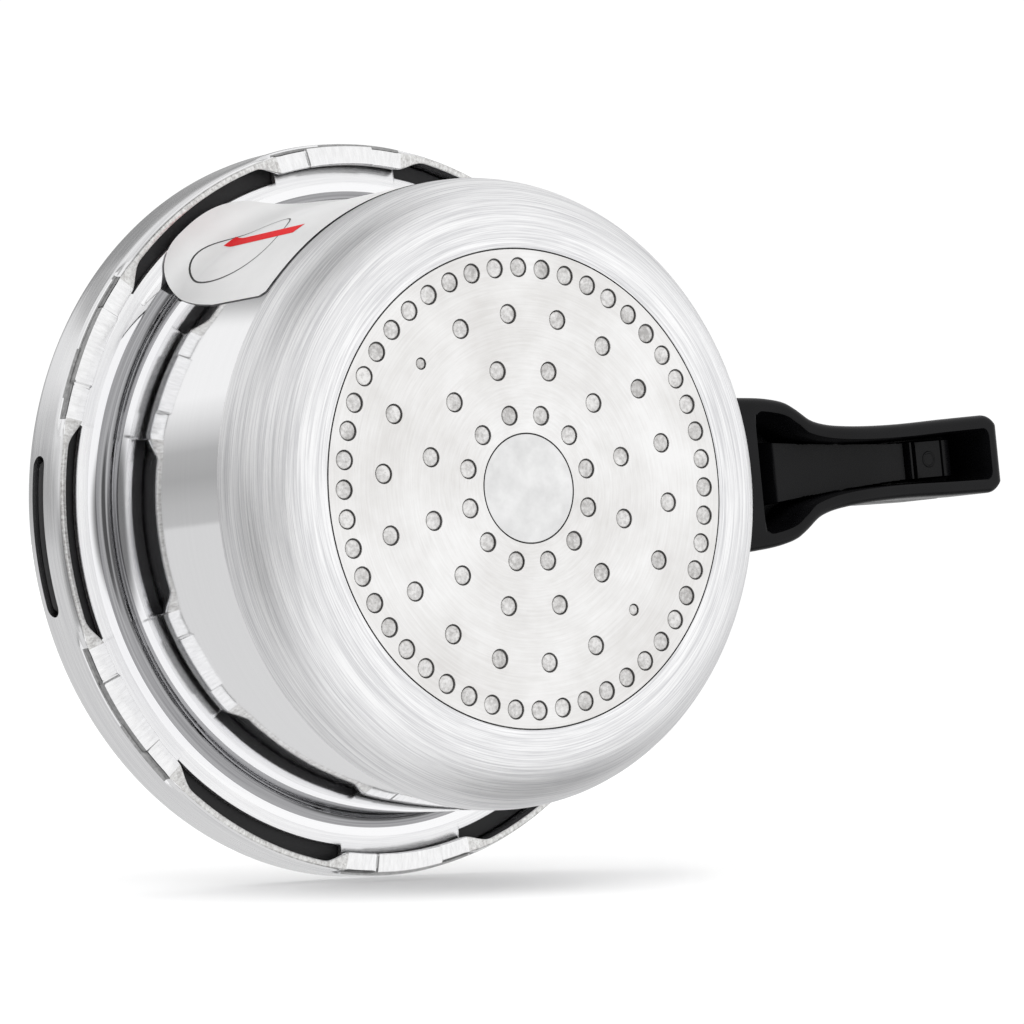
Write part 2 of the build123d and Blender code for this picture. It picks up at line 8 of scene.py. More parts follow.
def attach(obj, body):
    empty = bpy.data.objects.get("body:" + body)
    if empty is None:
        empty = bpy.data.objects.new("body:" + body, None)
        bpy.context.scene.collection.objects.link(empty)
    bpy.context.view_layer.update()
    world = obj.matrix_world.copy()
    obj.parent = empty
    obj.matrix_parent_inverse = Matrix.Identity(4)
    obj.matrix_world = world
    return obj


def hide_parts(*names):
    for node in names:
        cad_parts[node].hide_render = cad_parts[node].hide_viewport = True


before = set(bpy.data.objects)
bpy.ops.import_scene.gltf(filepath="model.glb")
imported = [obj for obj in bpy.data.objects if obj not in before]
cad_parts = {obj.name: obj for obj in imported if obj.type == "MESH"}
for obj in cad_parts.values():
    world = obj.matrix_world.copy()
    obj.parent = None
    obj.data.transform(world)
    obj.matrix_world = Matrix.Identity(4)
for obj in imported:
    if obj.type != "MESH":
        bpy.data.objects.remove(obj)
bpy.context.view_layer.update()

# The cooker's lengths are in millimetres and the stage's in metres, both in the CAD model's frame.
MM = 0.001
collection = bpy.context.scene.collection
weld_distance = 0.002 * MM


# ---------------------------------------------------------------- mesh helpers
def add_object(mesh, name, body, slot, *materials):
    piece = bpy.data.objects.new(name, mesh)
    collection.objects.link(piece)
    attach(piece, body)
    mesh.materials.clear()
    for material in materials:
        mesh.materials.append(material)
    return piece


def mesh_from(name, points, faces, sharp=32.0):
    """A welded, outward-facing mesh with smooth faces and edges sharper than sharp degrees kept."""
    mesh = bpy.data.meshes.new(name)
    mesh.from_pydata([[MM * value for value in point] for point in points], [], faces)
    work = bmesh.new()
    work.from_mesh(mesh)
    bmesh.ops.remove_doubles(work, verts=work.verts, dist=weld_distance)
    bmesh.ops.dissolve_degenerate(work, edges=work.edges, dist=weld_distance / 2)
    bmesh.ops.recalc_face_normals(work, faces=work.faces)
    work.to_mesh(mesh)
    work.free()
    finish_mesh(mesh, sharp)
    return mesh


def finish_mesh(mesh, sharp):
    for face in mesh.polygons:
        face.use_smooth = True
    mesh.set_sharp_from_angle(angle=math.radians(sharp))


def grid_faces(rows, columns, wrap_rows=False, wrap_columns=False, start=0):
    faces = []
    for row in range(rows if wrap_rows else rows - 1):
        for column in range(columns if wrap_columns else columns - 1):
            below = (row + 1) % rows
            right = (column + 1) % columns
            faces.append((start + row * columns + column, start + row * columns + right,
                          start + below * columns + right, start + below * columns + column))
    return faces


def smooth_step(low, high, value):
    part = min(1.0, max(0.0, (value - low) / (high - low)))
    return part * part * (3.0 - 2.0 * part)


def blend(start, end, part):
    return start + (end - start) * part


def rounded(corners, radii, steps):
    """The points of a polyline with its inner corners turned into arcs of these radii."""
    points = [corners[0]]
    for number in range(1, len(corners) - 1):
        corner = Vector(corners[number])
        back = Vector(corners[number - 1]) - corner
        ahead = Vector(corners[number + 1]) - corner
        radius = radii[number - 1]
        angle = back.angle(ahead)
        reach = radius / math.tan(angle / 2)
        first = corner + back.normalized() * reach
        middle = corner + (back.normalized() + ahead.normalized()).normalized() * (
            radius / math.sin(angle / 2))
        turn = math.pi - angle
        side = back.normalized().cross(ahead.normalized())
        start = first - middle
        for step in range(steps + 1):
            swing = turn * step / steps * (-1.0 if side > 0 else 1.0)
            spin = Vector((start.x * math.cos(swing) - start.y * math.sin(swing),
                           start.x * math.sin(swing) + start.y * math.cos(swing)))
            points.append(tuple(middle + spin))
    points.append(corners[-1])
    return points


def offset_line(corners, distance):
    """The corners of a polyline moved sideways, to the left of its direction, by distance."""
    moved = []
    for number, corner in enumerate(corners):
        normals = []
        for start, end in ((number - 1, number), (number, number + 1)):
            if start >= 0 and end < len(corners):
                run = Vector(corners[end]) - Vector(corners[start])
                normals.append(Vector((-run.y, run.x)).normalized())
        across = sum(normals, Vector((0.0, 0.0)))
        moved.append(tuple(Vector(corner) + across * (distance * len(normals) / across.length_squared)))
    return moved


def polar(name, profile, angles, sharp=32.0):
    """A closed surface of turned sections: profile(angle) gives each section's loop of (r, z)."""
    points = []
    for angle in angles:
        section = profile(angle)
        cosine, sine = math.cos(math.radians(angle)), math.sin(math.radians(angle))
        points += [(radius * cosine, radius * sine, height) for radius, height in section]
    faces = grid_faces(len(angles), len(section), wrap_rows=True, wrap_columns=True)
    return mesh_from(name, points, faces, sharp)


def even_angles(count):
    return [360.0 * number / count for number in range(count)]


# ---------------------------------------------------------------- material helpers
class Tree:
    """Makes and links the nodes of one node tree."""

    def __init__(self, owner):
        owner.use_nodes = True
        self.tree = owner.node_tree

    def node(self, kind, **values):
        node = self.tree.nodes.new(kind)
        for key, value in values.items():
            setattr(node, key, value)
        return node

    def link(self, source, target):
        self.tree.links.new(source, target)

    def math(self, operation, first, second):
        node = self.node("ShaderNodeMath", operation=operation)
        for place, value in enumerate((first, second)):
            if isinstance(value, (int, float)):
                node.inputs[place].default_value = value
            else:
                self.link(value, node.inputs[place])
        return node.outputs[0]

    def span(self, value, to_low, to_high, low=0.3, high=0.7, shape="LINEAR"):
        """value mapped from low..high, by default most of a noise, to to_low..to_high and held there."""
        node = self.node("ShaderNodeMapRange", interpolation_type=shape)
        for key, number in (("From Min", low), ("From Max", high), ("To Min", to_low), ("To Max", to_high)):
            node.inputs[key].default_value = number
        self.link(value, node.inputs["Value"])
        return node.outputs[0]


class Shader(Tree):
    """A node material built up from a Principled BSDF."""

    def __init__(self, name, color, metallic, roughness, **extra):
        self.material = bpy.data.materials.new(name)
        super().__init__(self.material)
        self.bsdf = self.tree.nodes["Principled BSDF"]
        self.bsdf.inputs["Base Color"].default_value = (*color, 1.0)
        self.bsdf.inputs["Metallic"].default_value = metallic
        self.bsdf.inputs["Roughness"].default_value = roughness
        for key, value in extra.items():
            self.bsdf.inputs[key.replace("_", " ")].default_value = value
        self.bump_from = None

    def place(self):
        """The piece's own coordinates in millimetres."""
        where = self.node("ShaderNodeTexCoord")
        scale = self.node("ShaderNodeVectorMath", operation="SCALE")
        self.link(where.outputs["Object"], scale.inputs[0])
        scale.inputs["Scale"].default_value = 1.0 / MM
        return scale.outputs[0]

    def polar_place(self, around, across, rise=1.0):
        """Coordinates for streaks that run round the Z axis: cells of 1/around radian by 1/across.

        Across the streaks they grow with the radius and with rise times the height.
        """
        split = self.node("ShaderNodeSeparateXYZ")
        self.link(self.place(), split.inputs[0])
        flat = self.node("ShaderNodeCombineXYZ")
        self.link(split.outputs[0], flat.inputs[0])
        self.link(split.outputs[1], flat.inputs[1])
        length = self.node("ShaderNodeVectorMath", operation="LENGTH")
        self.link(flat.outputs[0], length.inputs[0])
        unit = self.node("ShaderNodeVectorMath", operation="NORMALIZE")
        self.link(flat.outputs[0], unit.inputs[0])
        scaled = self.node("ShaderNodeVectorMath", operation="SCALE")
        self.link(unit.outputs[0], scaled.inputs[0])
        scaled.inputs["Scale"].default_value = around
        run = self.math("ADD", length.outputs["Value"], self.math("MULTIPLY", split.outputs[2], rise))
        depth = self.node("ShaderNodeCombineXYZ")
        self.link(self.math("MULTIPLY", run, across), depth.inputs[2])
        total = self.node("ShaderNodeVectorMath", operation="ADD")
        self.link(scaled.outputs[0], total.inputs[0])
        self.link(depth.outputs[0], total.inputs[1])
        return total.outputs[0]

    def noise(self, place, scale, detail, roughness=0.5):
        node = self.node("ShaderNodeTexNoise")
        node.inputs["Scale"].default_value = scale
        node.inputs["Detail"].default_value = detail
        node.inputs["Roughness"].default_value = roughness
        self.link(place, node.inputs["Vector"])
        return node.outputs[0]

    def tint(self, value, dark, light, low=0.3, high=0.7):
        """The base colour goes from dark to light as value goes from low to high."""
        node = self.node("ShaderNodeMix", data_type="RGBA")
        node.inputs[6].default_value = (*dark, 1.0)
        node.inputs[7].default_value = (*light, 1.0)
        self.link(self.span(value, 0.0, 1.0, low, high), node.inputs[0])
        self.link(node.outputs[2], self.bsdf.inputs["Base Color"])

    def rough(self, value):
        self.link(value, self.bsdf.inputs["Roughness"])

    def bump(self, height, distance, strength):
        """Adds bumps that rise by distance, in millimetres, as height goes from 0 to 1."""
        node = self.node("ShaderNodeBump")
        node.inputs["Strength"].default_value = strength
        node.inputs["Distance"].default_value = distance * MM
        self.link(height, node.inputs["Height"])
        if self.bump_from:
            self.link(self.bump_from, node.inputs["Normal"])
        self.bump_from = node.outputs[0]
        self.link(self.bump_from, self.bsdf.inputs["Normal"])


def grey(value, warm=0.0):
    """A grey, with a little more red and less blue where warm is above 0."""
    return (value * (1 + warm), value, value * (1 - warm))


# ---------------------------------------------------------------- materials
def brushed_aluminium():
    shade = Shader("brushed_aluminium", grey(0.86), 1.0, 0.45)
    fine = shade.noise(shade.polar_place(2.2, 1.9), 1.0, 4.0, 0.7)
    broad = shade.noise(shade.polar_place(1.2, 0.35), 1.0, 3.0, 0.6)
    scratch = shade.noise(shade.polar_place(7.0, 4.0, 1.3), 1.0, 2.0, 0.7)
    mix = shade.math("ADD", shade.math("MULTIPLY", fine, 0.75), shade.math("MULTIPLY", broad, 0.25))
    shade.tint(mix, (0.7, 0.7, 0.715), (0.99, 0.99, 0.995), 0.4, 0.58)
    shade.rough(shade.span(scratch, 0.36, 0.5))
    shade.bump(fine, 0.07, 0.8)
    shade.bump(scratch, 0.04, 0.7)
    return shade.material


def polished_aluminium(name, dark, light, roughness):
    shade = Shader(name, light, 1.0, roughness)
    wave = shade.noise(shade.place(), 0.03, 2.0)
    lines = shade.noise(shade.polar_place(1.2, 1.4), 1.0, 3.0, 0.6)
    shade.tint(lines, dark, light)
    shade.rough(shade.span(lines, roughness * 0.8, roughness * 1.3))
    shade.bump(wave, 0.12, 0.25)
    return shade.material


def satin_aluminium():
    shade = Shader("satin_aluminium", grey(0.86), 1.0, 0.24)
    lines = shade.noise(shade.polar_place(3.0, 2.2, -1.0), 1.0, 4.0, 0.6)
    patch = shade.noise(shade.place(), 0.05, 3.0)
    shade.tint(lines, (0.76, 0.76, 0.775), (0.93, 0.93, 0.935))
    shade.rough(shade.math("ADD", shade.span(lines, 0.14, 0.26),
                           shade.span(patch, 0.0, 0.06, 0.35, 0.65)))
    shade.bump(lines, 0.012, 0.4)
    return shade.material


def raw_edge():
    shade = Shader("raw_aluminium_edge", grey(0.76), 1.0, 0.35)
    grain = shade.noise(shade.place(), 1.1, 4.0, 0.7)
    drag = shade.noise(shade.polar_place(120.0, 0.35), 1.0, 3.0, 0.6)
    mix = shade.math("ADD", shade.math("MULTIPLY", grain, 0.6), shade.math("MULTIPLY", drag, 0.4))
    shade.tint(mix, (0.5, 0.49, 0.48), (0.86, 0.86, 0.85), 0.38, 0.6)
    shade.rough(shade.span(grain, 0.26, 0.46))
    shade.bump(mix, 0.1, 0.7)
    return shade.material


def pressed_aluminium():
    shade = Shader("pressed_aluminium", grey(0.84), 1.0, 0.2)
    drag = shade.noise(shade.polar_place(110.0, 0.2), 1.0, 3.0, 0.6)
    grain = shade.noise(shade.place(), 0.35, 4.0, 0.6)
    shade.tint(drag, (0.82, 0.82, 0.825), (0.94, 0.94, 0.945))
    shade.rough(shade.span(grain, 0.13, 0.26, 0.35, 0.65))
    shade.bump(drag, 0.012, 0.5)
    shade.bump(grain, 0.12, 0.45)
    return shade.material


def pad_aluminium():
    shade = Shader("pad_aluminium", grey(0.84), 1.0, 0.34)
    cloud = shade.noise(shade.place(), 0.12, 3.0, 0.6)
    lines = shade.noise(shade.polar_place(3.0, 1.2), 1.0, 3.0, 0.6)
    shade.tint(cloud, grey(0.72), grey(0.88))
    shade.rough(shade.span(lines, 0.3, 0.4))
    shade.bump(lines, 0.01, 0.5)
    shade.bump(cloud, 0.25, 0.4)
    return shade.material


def disc_steel():
    shade = Shader("disc_steel", grey(0.8, 0.012), 1.0, 0.38)
    lines = shade.noise(shade.polar_place(4.0, 1.6), 1.0, 4.0, 0.6)
    cloud = shade.noise(shade.place(), 0.03, 4.0, 0.6)
    grain = shade.noise(shade.place(), 2.2, 3.0, 0.7)
    mix = shade.math("ADD", shade.math("MULTIPLY", lines, 0.3), shade.math("MULTIPLY", cloud, 0.7))
    shade.tint(mix, grey(0.75, 0.018), grey(0.93, 0.004), 0.36, 0.62)
    shade.rough(shade.span(grain, 0.34, 0.46))
    shade.bump(lines, 0.012, 0.5)
    shade.bump(grain, 0.008, 0.5)
    return shade.material


def plug_metal():
    shade = Shader("plug_aluminium", grey(0.66, 0.01), 1.0, 0.45)
    mottle = shade.math("ADD", shade.math("MULTIPLY", shade.noise(shade.place(), 0.9, 4.0, 0.7), 0.6),
                        shade.math("MULTIPLY", shade.noise(shade.place(), 0.1, 1.0), 0.4))
    shade.tint(mottle, grey(0.48, 0.02), grey(0.84, 0.01), 0.38, 0.6)
    shade.rough(shade.span(mottle, 0.5, 0.32, 0.35, 0.65))
    shade.bump(mottle, 0.08, 0.7)
    return shade.material


def bracket_steel():
    shade = Shader("bracket_steel", grey(0.62), 1.0, 0.34)
    grain = shade.noise(shade.place(), 1.2, 4.0, 0.65)
    shade.tint(grain, grey(0.5), grey(0.72))
    shade.rough(shade.span(grain, 0.26, 0.42))
    shade.bump(grain, 0.05, 0.5)
    return shade.material


def turned_metal(name, dark, light, roughness):
    shade = Shader(name, light, 1.0, roughness)
    grain = shade.noise(shade.place(), 0.8, 4.0, 0.65)
    fine = shade.noise(shade.place(), 6.0, 2.0)
    shade.tint(grain, dark, light)
    shade.rough(shade.span(fine, roughness - 0.06, roughness + 0.08))
    shade.bump(fine, 0.02, 0.5)
    return shade.material


def bakelite():
    shade = Shader("black_bakelite", (0.004, 0.004, 0.0048), 0.0, 0.3, Specular_IOR_Level=0.16)
    grain = shade.noise(shade.place(), 0.9, 4.0, 0.6)
    flow = shade.noise(shade.place(), 0.06, 2.0)
    shade.tint(flow, (0.0028, 0.0028, 0.0034), (0.005, 0.005, 0.0058))
    shade.rough(shade.span(grain, 0.24, 0.36))
    shade.bump(grain, 0.02, 0.4)
    shade.bump(flow, 0.2, 0.15)
    return shade.material


def rubber():
    shade = Shader("gasket_rubber", (0.012, 0.0115, 0.013), 0.0, 0.55, Specular_IOR_Level=0.4)
    grain = shade.noise(shade.place(), 1.6, 5.0, 0.65)
    shade.tint(grain, (0.007, 0.007, 0.008), (0.02, 0.0195, 0.021))
    shade.rough(shade.span(grain, 0.45, 0.65))
    shade.bump(grain, 0.08, 0.6)
    return shade.material


def foil(name, dark, light, metallic, roughness):
    shade = Shader(name, light, metallic, roughness)
    crease = shade.noise(shade.place(), 0.05, 3.0)
    grain = shade.noise(shade.place(), 3.0, 2.0)
    shade.tint(crease, dark, light)
    shade.rough(shade.span(grain, roughness - 0.03, roughness + 0.05))
    shade.bump(crease, 0.35, 0.5)
    shade.bump(grain, 0.006, 0.4)
    return shade.material


mat_brushed = brushed_aluminium()
mat_polished = polished_aluminium("polished_aluminium", (0.925, 0.925, 0.935), (0.945, 0.945, 0.955), 0.05)
# Painted shade: the polished fillet under the flange gets a dark tint that stands in for the dark
# reflections there.
mat_root_painted_shade = polished_aluminium("flange_root_painted_shade_aluminium", (0.26, 0.26, 0.27), (0.46, 0.46, 0.47), 0.1)
mat_satin = satin_aluminium()
mat_edge = raw_edge()
mat_pressed = pressed_aluminium()
mat_disc = disc_steel()
mat_plug = plug_metal()
# Painted shade: the lid lugs' groove faces get a dark metal tint for the darkness that reflections give
# there.
mat_groove_painted_shade = turned_metal("groove_painted_shade_aluminium", grey(0.25), grey(0.42), 0.3)
# Painted shade: the walls of the recess round the disc are near black, so the disc's edge shows as a dark
# line.
mat_recess_painted_shade = turned_metal("recess_painted_shade_aluminium", grey(0.04), grey(0.12), 0.4)
mat_pad = pad_aluminium()
mat_bracket = bracket_steel()
mat_steel = turned_metal("vent_steel", grey(0.55), grey(0.72), 0.24)
mat_weight = turned_metal("weight_steel", grey(0.6), grey(0.78), 0.2)
mat_rivet = turned_metal("rivet_aluminium", grey(0.68), grey(0.86), 0.3)
mat_brass = turned_metal("brass", (0.55, 0.38, 0.14), (0.78, 0.57, 0.25), 0.26)
mat_fusible = turned_metal("fusible_alloy", grey(0.3), grey(0.45), 0.42)
mat_bakelite = bakelite()
mat_rubber = rubber()
mat_fibre = foil("fibre_seal", (0.28, 0.09, 0.05), (0.36, 0.13, 0.07), 0.0, 0.6)
mat_label = foil("label_foil", grey(0.7), grey(0.77), 0.25, 0.42)
mat_red = foil("label_red", (0.55, 0.003, 0.006), (0.62, 0.004, 0.008), 0.0, 0.8)
mat_line = foil("label_line", grey(0.02), grey(0.035), 0.0, 0.45)


def paint_faces(piece, looks, look_at):
    """Gives each face the one of looks that look_at(radius, height, face) says."""
    for face in piece.data.polygons:
        radius = math.hypot(face.center.x, face.center.y) / MM
        face.material_index = looks.index(look_at(radius, face.center.z / MM, face))


# ---------------------------------------------------------------- sizes shared by the pieces
pan_radius = 90.0
wall_radius = 89.78
pan_bore = 87.0
pan_height = 83.1
floor_height = 4.5
brushed_height = 21.7
flange_radius = 99.5
flange_bottom = 80.1
flange_neck = 96.2
pan_lug_radius = 104.2
disc_radius = 67.6
disc_thickness = 0.8
disc_gap = 0.4
window_radius = 15.7
lid_radius = 108.0
lid_top = 109.0
lid_wall = 3.0
skirt_top = 96.5
skirt_inner = 105.0
lid_bottom = 77.0
lug_inner_radius = 101.4
lug_top = 79.8
slot_height = 87.8
slot_radius = 3.0
slot_reach = 20.0
gasket_inner = 95.6
gasket_outer = 104.7
gasket_bottom = 83.4
gasket_top = 93.2
lug_count = 6
lug_step = 360.0 / lug_count
lug_phase = 30.0


def from_lug(angle):
    """Degrees from the middle of the nearest bayonet lug."""
    return abs((angle - lug_phase + lug_step / 2) % lug_step - lug_step / 2)


def lug_angles(extra):
    """Even steps round the pan, with finer ones where the lugs change."""
    angles = set(even_angles(360))
    for number in range(lug_count):
        for step in extra:
            for side in (-1.0, 1.0):
                angles.add((lug_phase + lug_step * number + side * step) % 360.0)
    ordered = sorted(angles)
    spaced = [ordered[0]]
    smallest_step = 0.04
    for angle in ordered[1:]:
        if angle - spaced[-1] > smallest_step:
            spaced.append(angle)
    return spaced


# ---------------------------------------------------------------- pan
pad_radius = window_radius - disc_gap
recess_radius = disc_radius + disc_gap
rim_start = 97.0
pan_lower = rounded(
    [(0, 0), (pad_radius, 0), (pad_radius, disc_thickness), (recess_radius, disc_thickness),
     (recess_radius, 0), (pan_radius, 0), (pan_radius, brushed_height - 0.15),
     (wall_radius, brushed_height + 0.15), (wall_radius, flange_bottom), (flange_neck, flange_bottom)],
    [0.12, 0.02, 0.02, 0.12, 19.0, 0.08, 0.08, 4.0], 14)
pan_upper = rounded(
    [(rim_start, pan_height), (pan_bore, pan_height), (pan_bore, floor_height), (0, floor_height)],
    [3.0, 16.0], 12)


def pan_section(angle):
    lug = 1.0 - smooth_step(11.7, 12.3, from_lug(angle))
    reach = blend(flange_radius, pan_lug_radius, lug)
    rise = blend(1.0, 1.7, lug)
    rim = rounded([(flange_neck, flange_bottom), (reach, flange_bottom + rise), (reach, pan_height),
                   (rim_start, pan_height)], [0.4, 0.5], 4)
    return pan_lower[:-1] + rim + pan_upper[1:]


pan_mesh = polar("pan_shell", pan_section,
                 lug_angles((11.55, 11.7, 11.85, 12.0, 12.15, 12.3, 12.45)))
pan_looks = (mat_polished, mat_brushed, mat_satin, mat_edge, mat_pad, mat_root_painted_shade, mat_recess_painted_shade)
pan = add_object(pan_mesh, "pan_shell", "pan", "polished_aluminium", *pan_looks)
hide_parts("pan_body")


def pan_look(radius, height, face):
    """The material of a face of the pan, from its place and the way that it faces."""
    normal = face.normal
    inside = radius < pan_radius - 2.0
    if abs(normal.z) < 0.5 and height > flange_bottom + 0.9 and radius > flange_radius - 0.5:
        return mat_edge
    # Painted shade: the recess round the disc takes the near-black metal.
    if 0.2 < height < disc_thickness + 0.2 and radius < recess_radius + 0.2:
        return mat_recess_painted_shade
    if radius < window_radius and height < disc_thickness - 0.1:
        return mat_pad
    if height < brushed_height + 0.2 and not (height > 3.0 and inside and normal.z > -0.05):
        return mat_brushed
    if normal.z > 0.3 or inside or radius > flange_neck - 0.2:
        return mat_satin
    # Painted shade: the fillet under the flange takes the darkened polished metal.
    if height > flange_bottom - 3.7 and radius < flange_neck - 1.6:
        return mat_root_painted_shade
    return mat_polished


paint_faces(pan, pan_looks, pan_look)

# ---------------------------------------------------------------- induction disc and its plugs
# Four rings of holes, from the outside in. Two small locating holes take places in the second ring.
ring_radii = [window_radius + place * (disc_radius - window_radius)
              for place in (0.902, 0.649, 0.356, 0.106)]
ring_counts = (48, 18, 12, 12)
ring_phases = (3.6, 8.6, 18.6, 18.6)
holes = []
for ring, radius in enumerate(ring_radii):
    for number in range(ring_counts[ring]):
        angle = math.radians(ring_phases[ring] + 360.0 / ring_counts[ring] * number)
        locating = ring == 1 and number in (2, 11)
        holes.append((radius * math.cos(angle), radius * math.sin(angle), 1.55 if locating else 2.65))


def circle_spline(curve, x, y, radius, count):
    spline = curve.splines.new("POLY")
    spline.points.add(count - 1)
    for number, point in enumerate(spline.points):
        angle = 2 * math.pi * number / count
        point.co = ((x + radius * math.cos(angle)) * MM, (y + radius * math.sin(angle)) * MM, 0, 1)
    spline.use_cyclic_u = True


# The disc is a flat curve with holes, thickened to both sides, so it is lifted by half its thickness.
disc_curve = bpy.data.curves.new("disc_outline", "CURVE")
disc_curve.dimensions = "2D"
disc_curve.fill_mode = "BOTH"
disc_edge = 0.05
plug_groove = 0.2
circle_spline(disc_curve, 0, 0, disc_radius - disc_edge, 256)
circle_spline(disc_curve, 0, 0, window_radius + disc_edge, 96)
for x, y, radius in holes:
    circle_spline(disc_curve, x, y, radius + plug_groove + disc_edge, 28)
disc_curve.extrude = (disc_thickness / 2 - disc_edge) * MM
disc_curve.bevel_depth = disc_edge * MM
disc_curve.bevel_resolution = 2
disc_holder = bpy.data.objects.new("disc_outline", disc_curve)
disc_mesh = bpy.data.meshes.new_from_object(disc_holder)
bpy.data.objects.remove(disc_holder)
bpy.data.curves.remove(disc_curve)
disc_mesh.transform(Matrix.Translation((0, 0, disc_thickness / 2 * MM)))
finish_mesh(disc_mesh, 40.0)
disc = add_object(disc_mesh, "induction_disc", "pan", "disc_steel", mat_disc)
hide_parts("base_disc")

# Each plug is a shallow dome of (part of the radius, depth) rings, sunk and leaning a little differently.
dome_rings = ((0.0, 0.03), (0.3, 0.01), (0.55, 0.0), (0.74, 0.03), (0.86, 0.1), (0.92, 0.22), (0.94, 0.55))
dome_steps = 20
plug_points = []
plug_faces = []
for number, (x, y, radius) in enumerate(holes):
    sink = 0.22 + 0.06 * math.sin(number * 2.4)
    lean = 0.05 * math.sin(number * 1.7)
    tilt = 0.05 * math.cos(number * 2.9)
    start = len(plug_points)
    for part, drop in dome_rings:
        for step in range(dome_steps):
            angle = 2 * math.pi * step / dome_steps
            across, along = math.cos(angle) * part, math.sin(angle) * part
            plug_points.append((x + radius * across, y + radius * along,
                                sink + drop + lean * across + tilt * along))
    plug_faces += grid_faces(len(dome_rings), dome_steps, wrap_columns=True, start=start)
plug_mesh = mesh_from("base_plugs", plug_points, plug_faces, 50.0)
add_object(plug_mesh, "base_plugs", "pan", "polished_aluminium", mat_plug)

# ---------------------------------------------------------------- label
foil_lift = 0.12
print_lift = 0.17


def label_point(azimuth, run, lift):
    """A point of the label: run is the length up the wall, then over the curve under the flange."""
    bend = 8.6
    wall_top = flange_bottom - 0.35 - bend
    if run < wall_top:
        radius, height = pan_radius + lift, run
    elif run < wall_top + bend * math.pi / 2:
        swing = (run - wall_top) / bend
        radius = pan_radius + lift + bend * (1 - math.cos(swing))
        height = wall_top + bend * math.sin(swing)
    else:
        radius = pan_radius + lift + bend + run - wall_top - bend * math.pi / 2
        height = wall_top + bend
    height -= (lift - foil_lift) * smooth_step(wall_top, wall_top + 8, run)
    angle = math.radians(azimuth)
    return (radius * math.cos(angle), radius * math.sin(angle), height)


def through(table, value):
    """A smooth curve through the (place, value) pairs of table, read at value."""
    for number in range(len(table) - 1):
        if value <= table[number + 1][0] or number == len(table) - 2:
            break
    (x0, y0), (x1, y1) = table[number], table[number + 1]
    before = table[max(0, number - 1)]
    after = table[min(len(table) - 1, number + 2)]
    slope0 = (y1 - before[1]) / (x1 - before[0])
    slope1 = (after[1] - y0) / (after[0] - x0)
    width = x1 - x0
    part = min(1.0, max(0.0, (value - x0) / width))
    return (y0 * (1 + 2 * part) * (1 - part) ** 2 + slope0 * width * part * (1 - part) ** 2
            + y1 * part ** 2 * (3 - 2 * part) + slope1 * width * part ** 2 * (part - 1))


# The label's upper and lower edges, as (azimuth, run). The upper one stays inside the turning lid's lugs.
label_start = 222.0
label_end = 299.0
label_top = ((label_start, 50.0), (223.0, 60.0), (225.0, 71.0), (228.0, 80.5), (232.0, 85.6),
             (237.0, 86.9), (244.0, 86.6), (250.0, 84.0), (256.0, 79.0), (262.0, 76.0), (275.0, 74.5),
             (label_end, 74.0))
label_low = ((label_start, 26.0), (223.0, 23.6), (240.0, 23.2), (270.0, 23.2), (label_end, 23.2))


def label_strip(name, low, high, columns, rows, lift, material):
    """A strip of foil between two lines of (azimuth, run) over the shape of the pan."""
    points = []
    for column in range(columns + 1):
        azimuth_low, run_low = low(column / columns)
        azimuth_high, run_high = high(column / columns)
        for row in range(rows + 1):
            part = row / rows
            points.append(label_point(blend(azimuth_low, azimuth_high, part),
                                      blend(run_low, run_high, part), lift))
    mesh = mesh_from(name, points, grid_faces(columns + 1, rows + 1), 60.0)
    centre = mesh.polygons[len(mesh.polygons) // 2]
    if centre.normal.x * centre.center.x + centre.normal.y * centre.center.y < 0:
        mesh.flip_normals()
    return add_object(mesh, name, "pan", "label_foil", material)


def label_edge(table):
    """An edge of the label, with its points closer together where the edge curves, near the start."""
    def line(part):
        azimuth = blend(label_start, label_end, part ** 1.5)
        return azimuth, through(table, azimuth)
    return line


def bar_end(azimuth, run):
    bar_width = 3.2
    return lambda part: (blend(azimuth, azimuth + bar_width, part), run)


def drop_outline(distance):
    """A drop shape round the bar, narrower at its far end, grown by distance."""
    middle_azimuth, middle_run = 239.4, 62.5
    half_width, half_run = 10.6, 22.0

    def line(part):
        swing = 2 * math.pi * part
        narrow = (1.0 - 0.3 * (1.0 + math.cos(swing))) * math.sin(swing)
        return (middle_azimuth + (half_width + distance) * math.cos(swing),
                middle_run + (half_run + 1.5 * distance) * narrow)
    return line


label = label_strip("pan_label", label_edge(label_low), label_edge(label_top), 110, 44, foil_lift,
                    mat_label)
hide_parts("body_label")
label_strip("label_band", bar_end(240.9, 40.5), bar_end(240.2, 75.0), 8, 24, print_lift, mat_red)
label_strip("label_border", drop_outline(-0.2), drop_outline(0.2), 60, 1, print_lift, mat_line)

# ---------------------------------------------------------------- lid
lid_corners = [(0, lid_top), (60.0, lid_top), (74.0, 105.5), (86.0, skirt_top), (lid_radius, skirt_top),
               (lid_radius, 82.0)]
lid_upper = rounded(lid_corners, [25.0, 12.0, 4.0, 5.0], 9)
inner_corners = offset_line(lid_corners[:-1] + [(lid_radius, 80.6)], -lid_wall)
lid_inner = rounded(inner_corners, [22.0, 9.0, 7.0, 2.0], 9)[::-1]
